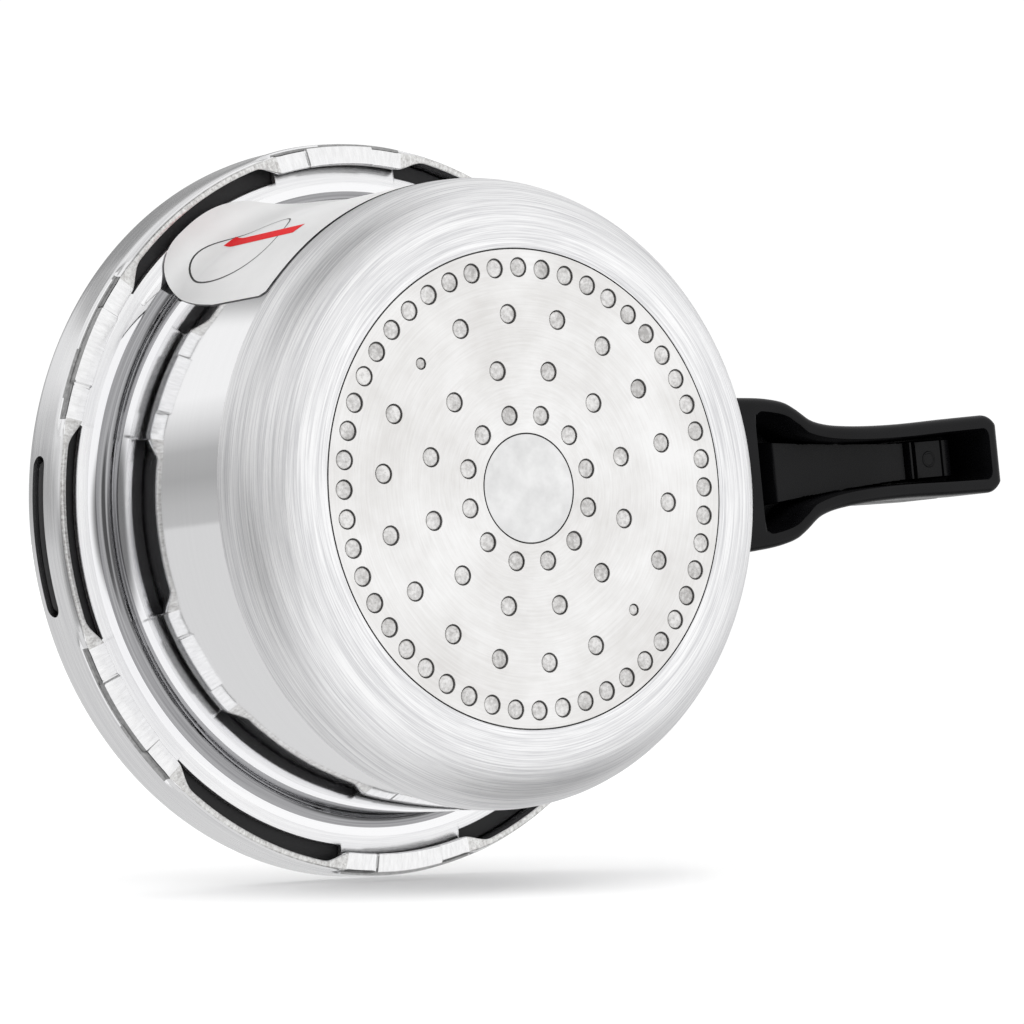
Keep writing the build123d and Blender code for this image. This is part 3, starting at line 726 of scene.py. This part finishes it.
# The skirt's rim from its outside to its inside, in a gap between lugs and over a lug.
gap_rim = ((107.97, 81.4), (107.9, 80.8), (107.78, 80.1), (107.6, 79.4), (107.4, 78.8), (107.15, 78.2),
           (106.95, 77.75), (106.8, 77.4), (106.6, 77.12), (106.35, lid_bottom), (106.0, 76.98),
           (105.6, lid_bottom), (105.3, 77.05), (105.1, 77.2), (skirt_inner, 77.5), (skirt_inner, 78.6),
           (skirt_inner, 79.6), (skirt_inner, 80.2))
lug_rim = ((lid_radius, 81.4), (107.95, 80.7), (107.75, 80.2), (107.35, 80.1), (107.0, 79.95),
           (106.85, 79.4), (106.8, 78.4), (106.75, 77.5), (106.6, 77.12), (106.3, lid_bottom),
           (105.5, lid_bottom), (102.1, lid_bottom), (101.65, 77.12), (lug_inner_radius, 77.5),
           (lug_inner_radius, 79.3), (101.8, lug_top), (104.5, lug_top), (skirt_inner, 80.1))
# Points of the rim, counted from its outside.
fold_start = 5
underside_start = 7
lug_tip = 12
underside_end = 13


def lid_section(angle):
    """The lid's section. Each lug has a proud field in its middle and a sunk one at each side."""
    away = from_lug(angle)
    lug = 1.0 - smooth_step(11.3, 16.6, away)
    bead = 1.0 - smooth_step(6.15, 6.45, away)
    side = smooth_step(6.4, 6.7, away) * (1.0 - smooth_step(10.9, 12.4, away))
    wobble = 0.12 * math.sin(math.radians(angle) * 7 + 1.0) + 0.08 * math.sin(math.radians(angle) * 17)
    rim = []
    for number, (gap, tab) in enumerate(zip(gap_rim, lug_rim)):
        radius, height = blend(gap[0], tab[0], lug), blend(gap[1], tab[1], lug)
        if underside_start <= number <= underside_end:
            height += -0.7 * bead + 0.15 * side + 0.19 * lug * (radius - lug_inner_radius)
        if fold_start <= number < lug_tip - 1:
            radius += 0.25 * bead - 0.25 * side
        if number < lug_tip:
            radius += wobble * lug
        rim.append((radius, height))
    return lid_upper + rim + lid_inner[1:]


lid_sharp = 38.0
lid_mesh = polar("lid_shell", lid_section, lug_angles(
    (5.9, 6.1, 6.2, 6.3, 6.4, 6.5, 6.6, 6.75, 10.8, 11.1, 11.5, 11.9, 12.3, 12.7, 13.1, 13.5, 13.9,
     14.3, 14.7, 15.1, 15.5, 15.9, 16.3, 16.7)), lid_sharp)

# The gasket's release slot is cut through the skirt by a bar with round ends.
slot_outline = []
for side in (1.0, -1.0):
    for step in range(13):
        swing = math.pi * step / 12
        slot_outline.append((side * (slot_reach + slot_radius * math.sin(swing)),
                             slot_height + side * slot_radius * math.cos(swing)))
slot_points = []
for depth in (-112.0, -96.0):
    slot_points += [(depth, across, height) for across, height in slot_outline]
slot_faces = grid_faces(2, len(slot_outline), wrap_columns=True)
slot_faces.append(tuple(range(len(slot_outline))))
slot_faces.append(tuple(range(2 * len(slot_outline) - 1, len(slot_outline) - 1, -1)))
cutter = bpy.data.objects.new("slot_cutter", mesh_from("slot_cutter", slot_points, slot_faces))
lid_holder = bpy.data.objects.new("lid_holder", lid_mesh)
collection.objects.link(cutter)
collection.objects.link(lid_holder)
cut = lid_holder.modifiers.new("slot", "BOOLEAN")
cut.operation = "DIFFERENCE"
cut.solver = "EXACT"
cut.object = cutter
bpy.context.view_layer.update()
lid_mesh = bpy.data.meshes.new_from_object(lid_holder.evaluated_get(bpy.context.evaluated_depsgraph_get()))
lid_mesh.name = "lid_shell"
bpy.data.objects.remove(lid_holder)
bpy.data.objects.remove(cutter)
finish_mesh(lid_mesh, lid_sharp)
lid_looks = (mat_satin, mat_polished, mat_edge, mat_pressed, mat_groove_painted_shade)
lid = add_object(lid_mesh, "lid_shell", "lid", "polished_aluminium", *lid_looks)
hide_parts("lid")


def lid_look(radius, height, face):
    """The material of a face of the lid, from its place and the way that it faces."""
    away = from_lug(math.degrees(math.atan2(face.center.y, face.center.x)))
    if height < lid_bottom + 1.6 and radius < 106.9 and face.normal.z < -0.5:
        return mat_pressed if away < 12.0 else mat_edge
    # Painted shade: the groove faces by the lugs take the darkened metal.
    if height < lug_top + 0.45 and radius < 107.6 and away < 12.2:
        return mat_groove_painted_shade
    if height < lug_top + 0.4 and radius < 107.2:
        return mat_polished
    return mat_satin


paint_faces(lid, lid_looks, lid_look)

# ---------------------------------------------------------------- gasket
lip_depth = 101.6
gasket_loop = rounded(
    [(100.0, gasket_bottom), (gasket_outer, gasket_bottom), (gasket_outer, gasket_top),
     (gasket_inner, gasket_top), (gasket_inner, 90.6), (lip_depth, 90.0), (lip_depth, 86.6),
     (gasket_inner, 86.2), (gasket_inner, gasket_bottom), (99.9, gasket_bottom)],
    [0.8, 2.2, 1.2, 0.7, 1.4, 1.4, 0.7, 1.1], 5)
gasket_mesh = polar("gasket_ring", lambda angle: gasket_loop, even_angles(240))
gasket = add_object(gasket_mesh, "gasket_ring", "gasket", "gasket_rubber", mat_rubber)
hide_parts("gasket")

# The stretch of the gasket that shows in the release slot: a low crown with rounded ends.
bulge_rows = 13
bulge_columns = 49
bulge_reach = 22.7
bulge_points = []
for row in range(bulge_rows):
    swing = math.pi * row / (bulge_rows - 1)
    for column in range(bulge_columns):
        along = -bulge_reach + 2 * bulge_reach * column / (bulge_columns - 1)
        end = min(1.0, (bulge_reach + 0.05 - abs(along)) / slot_radius)
        reach = math.sqrt(max(0.0, 1.0 - (1.0 - end) ** 2))
        height = slot_height - 2.75 * math.cos(swing) * reach
        crown = skirt_inner + 2.0 * math.sqrt(max(0.0, math.sin(swing))) * reach
        angle = math.pi + along / lid_radius
        bulge_points.append((crown * math.cos(angle), -crown * math.sin(angle), height))
bulge_mesh = mesh_from("gasket_release_bulge", bulge_points, grid_faces(bulge_rows, bulge_columns), 50.0)
add_object(bulge_mesh, "gasket_release_bulge", "lid", "gasket_rubber", mat_rubber)

# ---------------------------------------------------------------- handles
grip_end = 232.0
grip_corner = 5.5
grip_wall = 4.5
grip_depth = 20.8
rim_radius = 2.4
pan_grip_bottom = 62.0
pan_grip_top = 86.15
lid_grip_bottom = 87.3
lid_grip_top = 109.9
# Half the width of both handles along their length, from the pan's axis outward.
grip_widths = ((84.0, 24.6), (118.0, 24.2), (134.0, 23.4), (141.0, 22.6), (147.0, 21.1), (151.5, 18.6),
               (156.0, 15.5), (160.5, 13.9), (167.0, 12.8), (178.0, 12.0), (192.0, 11.75),
               (210.0, 12.15), (grip_end, 12.5))


def grip_half(x):
    """Half the width at x, with the end's corners rounded."""
    half = through(grip_widths, x)
    turn = grip_corner - (grip_end - x)
    if turn > 0:
        half -= grip_corner - math.sqrt(max(0.0, grip_corner ** 2 - turn ** 2))
    return half


def wall_distance(x, inset):
    """How far y moves in from the outline for inset millimetres at right angles to it."""
    slope = (through(grip_widths, x + 0.2) - through(grip_widths, x - 0.2)) / 0.4
    return inset * math.sqrt(1 + slope * slope)


def panel_half(x):
    """Half the width of the long panel in the hollow, which widens toward the root."""
    return 6.1 + 3.7 * (max(0.0, 200.0 - x) / 55.0) ** 1.4


def corner_distance(first, second, radius):
    """Distance inside a corner between two walls, rounded with radius."""
    if first < radius and second < radius:
        return radius - math.hypot(radius - first, radius - second)
    return min(first, second)


def between(value, low, high, soft):
    """1 from low to high and 0 outside, with soft ends."""
    return smooth_step(low - soft, low + soft, value) * (1.0 - smooth_step(high - soft, high + soft, value))


def hollow_depth(x, y, inset):
    """Depth of a handle's underside below its rim."""
    inside = corner_distance(inset - grip_wall, x - 134.0, 3.2)
    inside = corner_distance(inside, grip_end - grip_wall - x, 2.4)
    hollow = smooth_step(-0.35, 0.75, inside)
    across = 1.0 - smooth_step(-0.35, 0.35, abs(y) - panel_half(x))
    sag = 1.1 * (1.0 - smooth_step(150.0, 195.0, x))
    panel = (smooth_step(143.4, 147.2, x) * (1.0 - smooth_step(198.5, 199.0, x)), 8.4 + sag)
    rib = (between(x, 199.6, 200.9, 0.25), 6.6)
    boss_pad = (between(x, 203.0, 213.8, 0.3), 7.9)
    ramp = (between(x, 214.4, 219.4, 0.55), 8.6 + 1.6 * smooth_step(217.0, 219.8, x))
    depth = grip_depth
    for mask, feature_depth in (panel, rib, boss_pad, ramp):
        depth -= (grip_depth - feature_depth) * mask * across
    return depth * hollow


def rim_round(distance, radius):
    """How far an edge rounded with radius falls away at a distance inside it."""
    if distance >= radius:
        return 0.0
    return radius - math.sqrt(max(0.0, radius ** 2 - (radius - distance) ** 2))


# Distances in from the outline where a handle's section has points, underneath and on top.
under_insets = (0.0, 0.12, 0.35, 0.75, 1.25, 1.85, 2.5, 3.4, 3.9, 4.2, 4.4, 4.6, 4.8, 5.0, 5.3)
over_insets = (0.0, 0.12, 0.4, 0.85, 1.5, 2.3, 3.2, 4.6)
# Where the handles change quickly along their length, as (middle, reach, step).
fine_stretches = ((108.4, 1.2, 0.2), (134.2, 1.8, 0.22), (145.3, 2.6, 0.3), (198.8, 0.5, 0.1),
                  (199.6, 0.4, 0.1), (200.9, 0.4, 0.1), (203.0, 0.5, 0.12), (214.1, 0.9, 0.12),
                  (219.4, 1.0, 0.12), (227.3, 1.8, 0.2))


def grip_stations(start):
    """The places along a handle where it has a section, closer together where it changes."""
    stations = [start + 0.15, start + 0.4, start + 0.8, start + 1.4, start + 2.2, start + 3.4]
    value = start + 5.0
    while value < grip_end - grip_corner:
        stations.append(value)
        value += 1.6
    for middle, width, step in fine_stretches:
        stations = [value for value in stations if abs(value - middle) > width]
        count = int(2 * width / step)
        stations += [middle - width + step * number for number in range(count + 1)]
    stations += [grip_end - inset for inset in (3.2, 2.5, 1.9, 1.4, 1.0, 0.65, 0.38, 0.18, 0.05, 0.0)]
    stations.append(start)
    return sorted(set(round(value, 3) for value in stations))


def handle_mesh(name, start, bottom, low_of, high_of, top_round):
    """A hollow handle from its root at radius start to the grip's end.

    low_of and high_of give its lower and upper face at x. It is hollow where the lower one is at bottom.
    Each section's loop goes under the handle from one side to the other and back over its top.
    """
    points = []
    stations = grip_stations(start)
    for x in stations:
        half = grip_half(x)
        end = grip_end - x
        low, high = low_of(x), high_of(x)
        loop = []
        under = []
        for inset in under_insets:
            under.append((max(0.0, half - wall_distance(x, inset)), inset))
        edge = panel_half(x)
        foot = under[-1][0]
        sides = [edge + 0.45, edge + 0.15, edge - 0.15, edge - 0.45]
        if foot <= edge + 0.6:
            sides = [foot * part for part in (0.96, 0.93, 0.9, 0.87)]
        under += [(value, half - value) for value in [blend(foot, sides[0], 0.5)] + sides]
        under += [(sides[-1] * part, half - sides[-1] * part) for part in (0.8, 0.6, 0.4, 0.2, 0.0)]
        for side in (1.0, -1.0):
            row = []
            for y, inset in under:
                depth = hollow_depth(x, y, inset) if low <= bottom + 0.01 else 0.0
                lift = rim_round(min(inset, end), rim_radius)
                row.append((side * y, low + max(depth, lift)))
            loop += row if side > 0 else row[-2::-1]
        over = []
        for inset in over_insets:
            y = max(0.0, half - inset)
            over.append((y, high - rim_round(min(inset, end, x - start + 0.6), top_round)))
        crown = over[-1]
        over += [(crown[0] * part, crown[1] + 0.35 * (1 - part ** 2) * smooth_step(0.0, 12.0, end)
                  * smooth_step(start, start + 8.0, x)) for part in (0.7, 0.35, 0.0)]
        side_low, side_high = loop[-1][1], over[0][1]
        loop += [(-half, blend(side_low, side_high, part)) for part in (0.25, 0.5, 0.75)]
        loop += [(-y, z) for y, z in over] + [(y, z) for y, z in over[-2::-1]]
        loop += [(half, blend(side_high, side_low, part)) for part in (0.25, 0.5, 0.75)]
        straight = smooth_step(109.8, 124.0, x)
        for y, z in loop:
            curved = math.sqrt(max(0.0, x * x - y * y))
            points.append((blend(curved, x, straight), y, z))
    width = len(loop)
    faces = grid_faces(len(stations), width, wrap_columns=True)
    faces.append(tuple(range(width)))
    faces.append(tuple(range(len(points) - 1, len(points) - width - 1, -1)))
    return mesh_from(name, points, faces, 44.0)


def pan_grip_high(x):
    """The pan handle's top, which steps down under the flange."""
    return blend(75.9, pan_grip_top, smooth_step(108.35, 108.75, x))


def lid_grip_low(x):
    """The lid handle's underside, which steps up over the lid's skirt."""
    return blend(96.7, lid_grip_bottom, smooth_step(108.25, 108.65, x))


pan_grip_mesh = handle_mesh("pan_grip", 90.3, pan_grip_bottom, lambda x: pan_grip_bottom,
                            pan_grip_high, 2.6)
pan_grip = add_object(pan_grip_mesh, "pan_grip", "pan", "black_bakelite", mat_bakelite)
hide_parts("pan_handle")
lid_grip_mesh = handle_mesh("lid_grip", 87.2, lid_grip_bottom, lid_grip_low,
                            lambda x: lid_grip_top, 3.2)
lid_grip = add_object(lid_grip_mesh, "lid_grip", "lid", "black_bakelite", mat_bakelite)
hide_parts("lid_handle")


def boss_mesh(name, height):
    """The small round boss on the pad near a handle's end, made of (radius, rise) rings."""
    rings = ((0.0, 0.55), (1.1, 0.5), (1.55, 0.42), (1.8, 0.1), (2.0, -0.12), (2.35, -0.16), (2.6, -0.02),
             (2.75, 0.5))
    middle = 208.4
    steps = 32
    points = []
    for radius, rise in rings:
        for step in range(steps):
            angle = 2 * math.pi * step / steps
            points.append((middle + radius * math.cos(angle), radius * math.sin(angle), height + rise))
    return mesh_from(name, points, grid_faces(len(rings), steps, wrap_columns=True), 60.0)


boss_height = 7.85
for name, body, bottom in (("pan_grip_boss", "pan", pan_grip_bottom),
                           ("lid_grip_boss", "lid", lid_grip_bottom)):
    add_object(boss_mesh(name, bottom + boss_height), name, body, "black_bakelite", mat_bakelite)

# ---------------------------------------------------------------- parts kept from the frame
kept = {
    "pan_bracket": mat_bracket, "lid_bracket": mat_bracket, "pan_rivets": mat_rivet,
    "lid_rivets": mat_rivet, "pan_handle_screw": mat_steel, "lid_handle_screw": mat_steel,
    "pan_handle_nut": mat_bracket, "lid_handle_nut": mat_bracket, "vent_tube": mat_steel,
    "vent_washer": mat_fibre, "vent_nut": mat_brass, "safety_valve": mat_brass,
    "fusible_plug": mat_fusible, "safety_washer": mat_fibre, "safety_nut": mat_brass,
    "weight_body": mat_weight, "weight_needle": mat_steel, "weight_cap": mat_bakelite,
}
for name, material in kept.items():
    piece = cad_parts[name]
    for slot in piece.material_slots:
        slot.material = material
    weld = piece.modifiers.new("weld", "WELD")
    weld.merge_threshold = weld_distance
    soften = piece.modifiers.new("edges", "BEVEL")
    soften.width = 0.12 * MM
    soften.segments = 2
    soften.limit_method = "ANGLE"
    soften.angle_limit = math.radians(35.0)

# ---------------------------------------------------------------- floors, lights and camera
floor_grey = 0.85
floor_gap = 0.0004


def floor_material(name, lift, fade):
    """Pale floor that shows from above only, and thins out along its X over the fade distances."""
    material = bpy.data.materials.new(name)
    tree = Tree(material)
    tree.tree.nodes.clear()
    pale = tree.node("ShaderNodeBsdfDiffuse")
    pale.inputs["Color"].default_value = (*grey(floor_grey), 1.0)
    glow = tree.node("ShaderNodeEmission")
    glow.inputs["Strength"].default_value = lift
    lit = tree.node("ShaderNodeAddShader")
    tree.link(pale.outputs[0], lit.inputs[0])
    tree.link(glow.outputs[0], lit.inputs[1])
    clear = tree.node("ShaderNodeBsdfTransparent")
    facing = tree.node("ShaderNodeNewGeometry")
    place = tree.node("ShaderNodeTexCoord")
    split = tree.node("ShaderNodeSeparateXYZ")
    tree.link(place.outputs["Object"], split.inputs[0])
    thin = tree.span(split.outputs[0], 0.0, 1.0, *fade, "SMOOTHSTEP")
    mix = tree.node("ShaderNodeMixShader")
    tree.link(tree.math("MAXIMUM", facing.outputs["Backfacing"], thin), mix.inputs[0])
    tree.link(lit.outputs[0], mix.inputs[1])
    tree.link(clear.outputs[0], mix.inputs[2])
    tree.link(mix.outputs[0], tree.node("ShaderNodeOutputMaterial").inputs["Surface"])
    return material


def floor(name, matrix, size, lift, fade):
    """A square floor that catches shadows and doesn't light or mirror in the cooker."""
    mesh = bpy.data.meshes.new(name)
    half = size / 2
    mesh.from_pydata([(-half, -half, 0), (half, -half, 0), (half, half, 0), (-half, half, 0)], [],
                     [(0, 1, 2, 3)])
    plane = bpy.data.objects.new(name, mesh)
    collection.objects.link(plane)
    plane.matrix_world = matrix
    mesh.materials.append(floor_material(name, lift, fade))
    plane.visible_shadow = False
    plane.visible_diffuse = False
    plane.visible_glossy = False


floor("floor_upright", Matrix.Translation((0, 0, -floor_gap)), 4.0, 0.08, (1.5, 1.9))


def soft_sun(name, source, strength, spread):
    """A soft sun from the direction source, which doesn't show in reflections."""
    data = bpy.data.lights.new(name, "SUN")
    data.energy = strength
    data.angle = math.radians(spread)
    lamp = bpy.data.objects.new(name, data)
    collection.objects.link(lamp)
    lamp.rotation_euler = (-Vector(source)).to_track_quat("-Z", "Y").to_euler()
    lamp.visible_glossy = False


soft_sun("lying_key", (-0.1, -1.0, -0.15), 1.9, 100.0)
soft_sun("upright_key", (0.08, -0.14, 1.0), 1.4, 30.0)

world = bpy.data.worlds.new("studio")
bpy.context.scene.world = world
sky = Tree(world)
sky.tree.nodes.clear()
where = sky.node("ShaderNodeTexCoord")


def toward(direction, low, high, low_value, high_value):
    """low_value to high_value as the cosine between a ray and direction goes from low to high."""
    along = sky.node("ShaderNodeVectorMath", operation="DOT_PRODUCT")
    along.inputs[1].default_value = Vector(direction).normalized()
    sky.link(where.outputs["Generated"], along.inputs[0])
    shape = "SMOOTHSTEP" if high < 0.999 else "LINEAR"
    return sky.span(along.outputs["Value"], low_value, high_value, low, high, shape)


# From above come bands of brightness, laid from +Y round to -Y.
bands = sky.node("ShaderNodeValToRGB")
steps = ((0.0, 0.72), (0.3, 0.7), (0.497, 0.69), (0.503, 0.52), (0.537, 0.49), (0.58, 0.4), (0.625, 0.45),
         (0.666, 0.72), (0.703, 0.93), (1.0, 0.93))
while len(bands.color_ramp.elements) < len(steps):
    bands.color_ramp.elements.new(0.5)
for element, (place, value) in zip(bands.color_ramp.elements, steps):
    element.position = place
    element.color = (*grey(value), 1.0)
sky.link(toward((0, -1, 0), -1.0, 1.0, 0.0, 1.0), bands.inputs[0])
# From the sides and below comes an even light, brighter further down.
lit = sky.node("ShaderNodeMix", data_type="RGBA")
sky.link(toward((0, 0, -1), -0.6, -0.1, 0.0, 1.0), lit.inputs[0])
sky.link(bands.outputs[0], lit.inputs[6])
sky.link(toward((0, 0, -1), -0.05, 0.5, 0.72, 1.02), lit.inputs[7])
# Dark flags give the polished metal its dark stretches.
shade = sky.math("MULTIPLY", toward((-0.6, -0.05, -0.8), 0.92, 0.985, 1.0, 0.2),
                 toward((0.25, -0.53, 0.81), 0.93, 0.985, 1.0, 0.35))
for bearing in (60.0, 170.0, 260.0):
    flag = (math.cos(math.radians(bearing)), math.sin(math.radians(bearing)), -0.1)
    shade = sky.math("MULTIPLY", shade, toward(flag, 0.86, 0.98, 1.0, 0.3))
dim = sky.node("ShaderNodeVectorMath", operation="SCALE")
sky.link(lit.outputs[2], dim.inputs[0])
sky.link(shade, dim.inputs["Scale"])
# Two weak bright patches make glints along the edges.
glints = sky.math("ADD", toward((0.99, -0.1, 0.1), 0.94, 0.985, 0.0, 0.5),
                  toward((0.6, -0.8, 0.04), 0.94, 0.985, 0.0, 0.25))
bright = sky.node("ShaderNodeVectorMath", operation="ADD")
sky.link(dim.outputs[0], bright.inputs[0])
sky.link(glints, bright.inputs[1])
studio = sky.node("ShaderNodeBackground")
sky.link(bright.outputs[0], studio.inputs["Color"])
# The camera sees plain white behind the cooker.
backdrop = sky.node("ShaderNodeBackground")
backdrop.inputs["Color"].default_value = (1.0, 1.0, 1.0, 1.0)
backdrop.inputs["Strength"].default_value = 1.05
ray = sky.node("ShaderNodeLightPath")
choose = sky.node("ShaderNodeMixShader")
sky.link(ray.outputs["Is Camera Ray"], choose.inputs[0])
sky.link(studio.outputs[0], choose.inputs[1])
sky.link(backdrop.outputs[0], choose.inputs[2])
sky.link(choose.outputs[0], sky.node("ShaderNodeOutputWorld").inputs["Surface"])

bpy.context.scene.view_settings.view_transform = "Standard"

# The camera looks up at the underside from the side, with a long lens.
camera_data = bpy.data.cameras.new("camera")
camera_data.lens = 175.03
camera_data.sensor_width = 36.0
camera_data.clip_start = 0.05
camera_data.clip_end = 20.0
camera = bpy.data.objects.new("camera", camera_data)
collection.objects.link(camera)
right = Vector((0.80645, 0.09902, -0.5829)).normalized()
up = Vector((0.0717, -0.9951, -0.0698))
back = right.cross(up).normalized()
up = back.cross(right).normalized()
turn = Matrix((right, up, back)).transposed().to_4x4()
camera_place = (-0.82605, 0.02646, -1.13015)
camera.matrix_world = Matrix.Translation(camera_place) @ turn
bpy.context.scene.camera = camera

# The cooker lies on the edge of its lid: the lying floor is level in the camera's view and thins out
# before the place where a turned lid's handle comes down.
lid_rim = []
for angle in even_angles(360):
    for height in (82.0, 94.0):
        lid_rim.append(Vector((lid_radius * math.cos(math.radians(angle)),
                               lid_radius * math.sin(math.radians(angle)), height)))
contact = min(lid_rim, key=up.dot) * MM
lying = Matrix.Translation(contact - up * floor_gap) @ turn @ Matrix.Rotation(math.radians(-90), 4, "X")
floor("floor_lying", lying, 30.0, 0.12, (0.09, 0.125))
